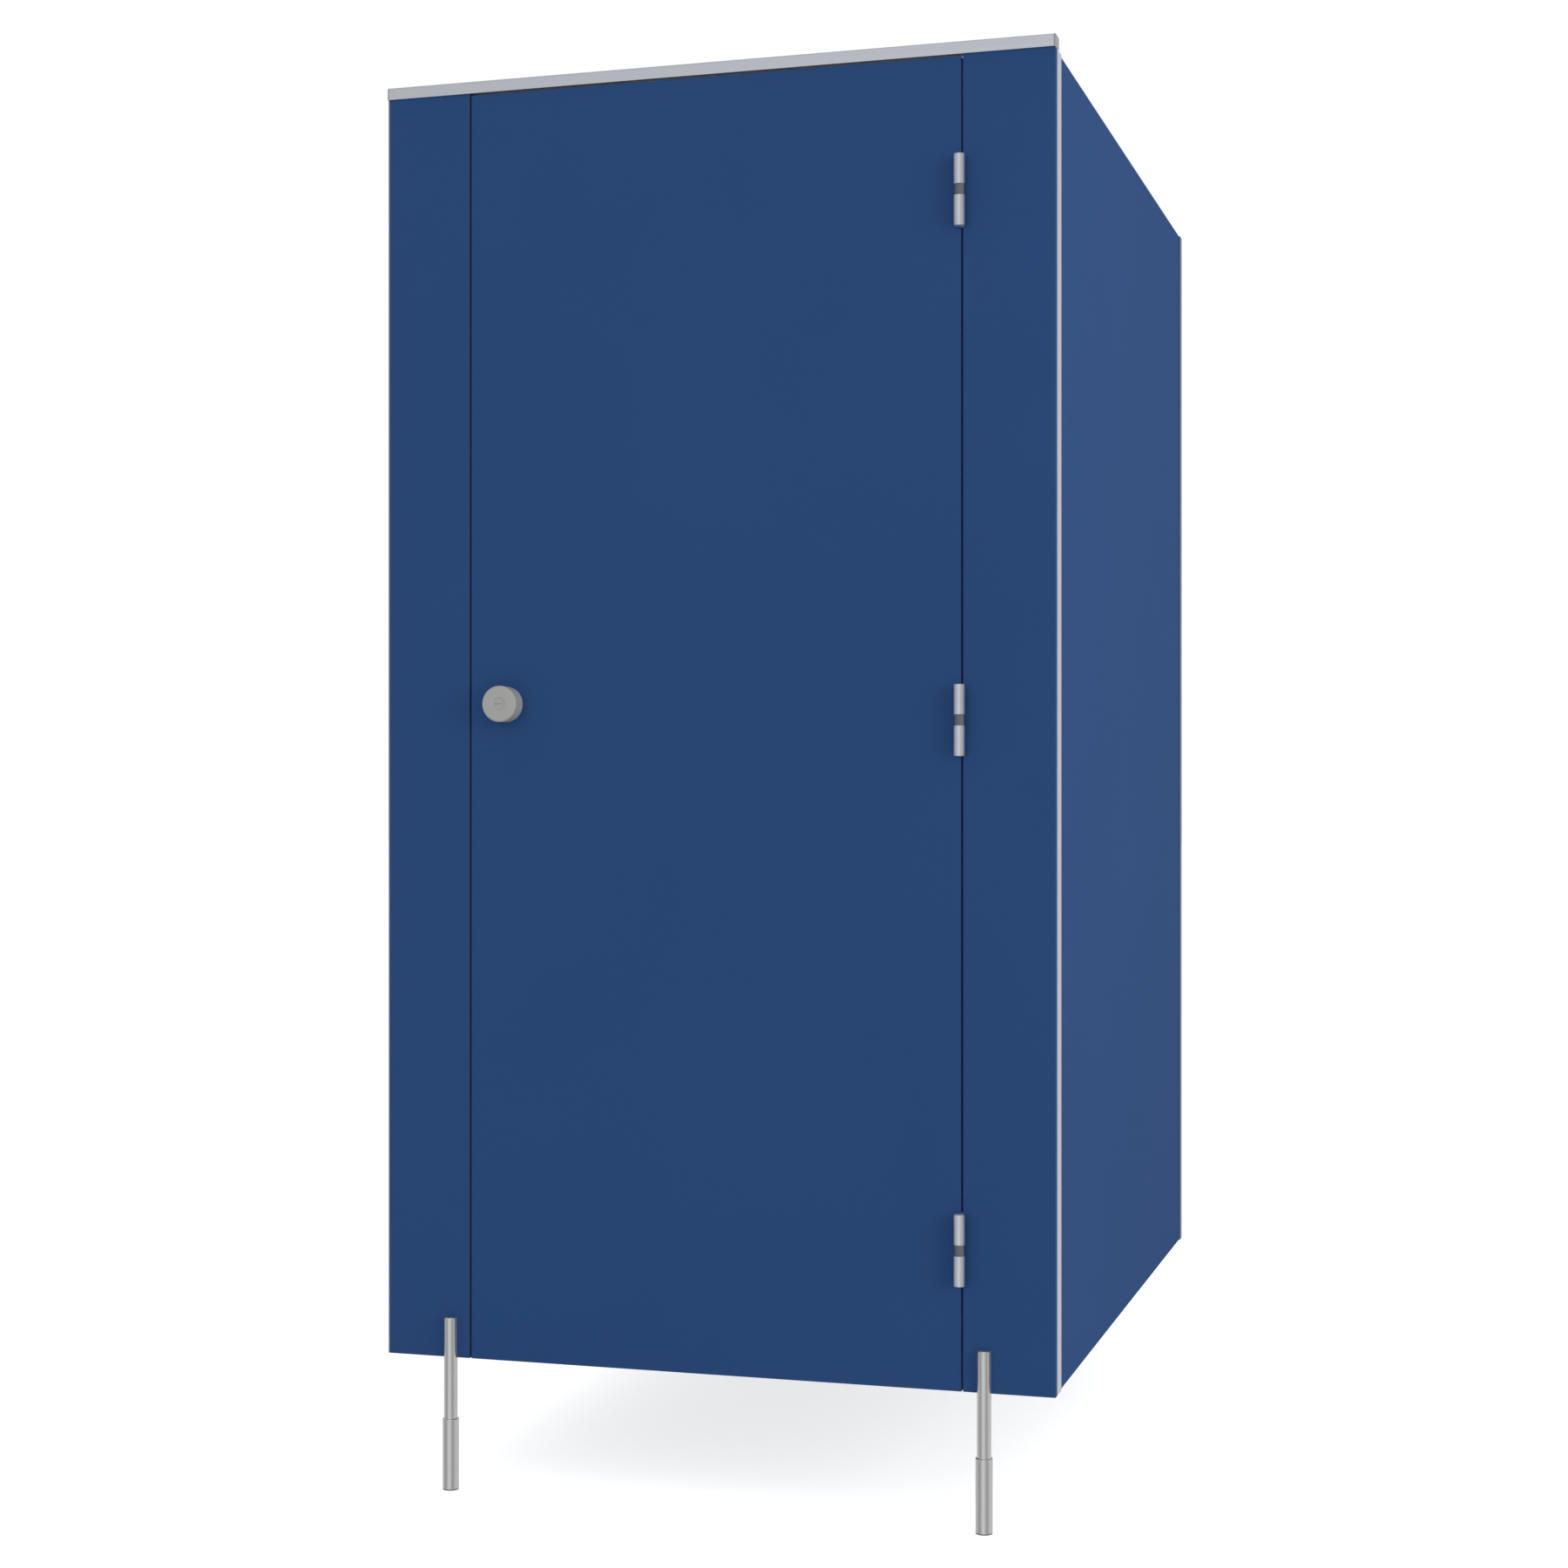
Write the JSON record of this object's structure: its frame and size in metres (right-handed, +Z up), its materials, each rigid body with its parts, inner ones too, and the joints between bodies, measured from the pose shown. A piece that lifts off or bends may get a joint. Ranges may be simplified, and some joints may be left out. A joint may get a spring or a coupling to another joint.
{
  "type": "changing cubicle",
  "caption": "Compact laminate changing cubicle with an outward-opening door on barrel hinges, turn lock with pull knob, headrail, side partitions, bench and adjustable legs.",
  "frame": {"origin": "on the floor, in the middle of the footprint", "axes": "+Z up, the front with the door faces -Y, +X to the right as seen from the front, the wall is at +Y"},
  "size_m": [1, 1.3286, 2.069],
  "materials": {
    "blue_laminate": "solid-grade compact laminate, fine matt surface",
    "anodised_aluminium": "satin anodised",
    "stainless_steel": "stainless steel, satin",
    "satin_steel": "satin stainless steel",
    "light_nylon": "moulded light grey nylon",
    "grey_nylon": "moulded grey nylon",
    "grey_cap": "moulded grey plastic",
    "black_rubber": "black rubber"
  },
  "bodies": {
    "frame": {"left_pilaster": "blue_laminate", "right_pilaster": "blue_laminate", "left_partition": "blue_laminate", "right_partition": "blue_laminate", "bench_board": "blue_laminate", "left_edge_trim": "anodised_aluminium", "headrail": "anodised_aluminium", "left_front_channel": "anodised_aluminium", "right_front_channel": "anodised_aluminium", "left_wall_channel": "anodised_aluminium", "right_wall_channel": "anodised_aluminium", "left_leg_bar": "anodised_aluminium", "right_leg_bar": "anodised_aluminium", "bench_front_angle": "anodised_aluminium", "left_bench_angle": "anodised_aluminium", "right_bench_angle": "anodised_aluminium", "rail_screws": "stainless_steel", "front_channel_screws": "stainless_steel", "partition_screws": "stainless_steel", "top_hinge_frame_half": "stainless_steel", "top_hinge_pin": "stainless_steel", "middle_hinge_frame_half": "stainless_steel", "middle_hinge_pin": "stainless_steel", "bottom_hinge_frame_half": "stainless_steel", "bottom_hinge_pin": "stainless_steel", "hinge_frame_screws": "stainless_steel", "keep_screws": "stainless_steel", "leg_bolts": "stainless_steel", "bench_screws": "stainless_steel", "lock_keep": "stainless_steel", "top_hinge_bush": "grey_nylon", "middle_hinge_bush": "grey_nylon", "bottom_hinge_bush": "grey_nylon", "left_rail_cap": "grey_cap", "right_rail_cap": "grey_cap", "keep_buffer": "black_rubber"},
    "door": {"door_leaf": "blue_laminate", "top_hinge_door_half": "stainless_steel", "middle_hinge_door_half": "stainless_steel", "bottom_hinge_door_half": "stainless_steel", "hinge_door_screws": "stainless_steel", "lock_pull": "light_nylon", "lock_backplate": "satin_steel", "lock_screws": "stainless_steel", "coat_hook": "stainless_steel", "hook_screws": "stainless_steel"},
    "latch": {"coin_release": "satin_steel", "lock_spindle": "stainless_steel", "latch_arm": "stainless_steel", "thumbturn": "grey_nylon", "thumbturn_grub": "stainless_steel"},
    "left_foot": {"left_leg_sleeve": "anodised_aluminium", "left_leg_foot": "grey_nylon", "left_leg_grub": "stainless_steel"},
    "right_foot": {"right_leg_sleeve": "anodised_aluminium", "right_leg_foot": "grey_nylon", "right_leg_grub": "stainless_steel"}
  },
  "joints": [
    {"name": "door_swing", "type": "hinge", "parent": "frame", "child": "door", "pos_m": [0.3674, -0.6467, 1.122], "axis": [0, 0, 1], "range_deg": [0, 175]},
    {"name": "lock_turn", "type": "hinge", "parent": "door", "child": "latch", "pos_m": [-0.3124, -0.6357, 1.154], "axis": [0, -1, 0], "range_deg": [0, 90]},
    {"name": "left_leg_adjust", "type": "slide", "parent": "frame", "child": "left_foot", "axis": [0, 0, 1], "range_m": [-0.025, 0.015]},
    {"name": "right_leg_adjust", "type": "slide", "parent": "frame", "child": "right_foot", "axis": [0, 0, 1], "range_m": [-0.025, 0.015]}
  ]
}
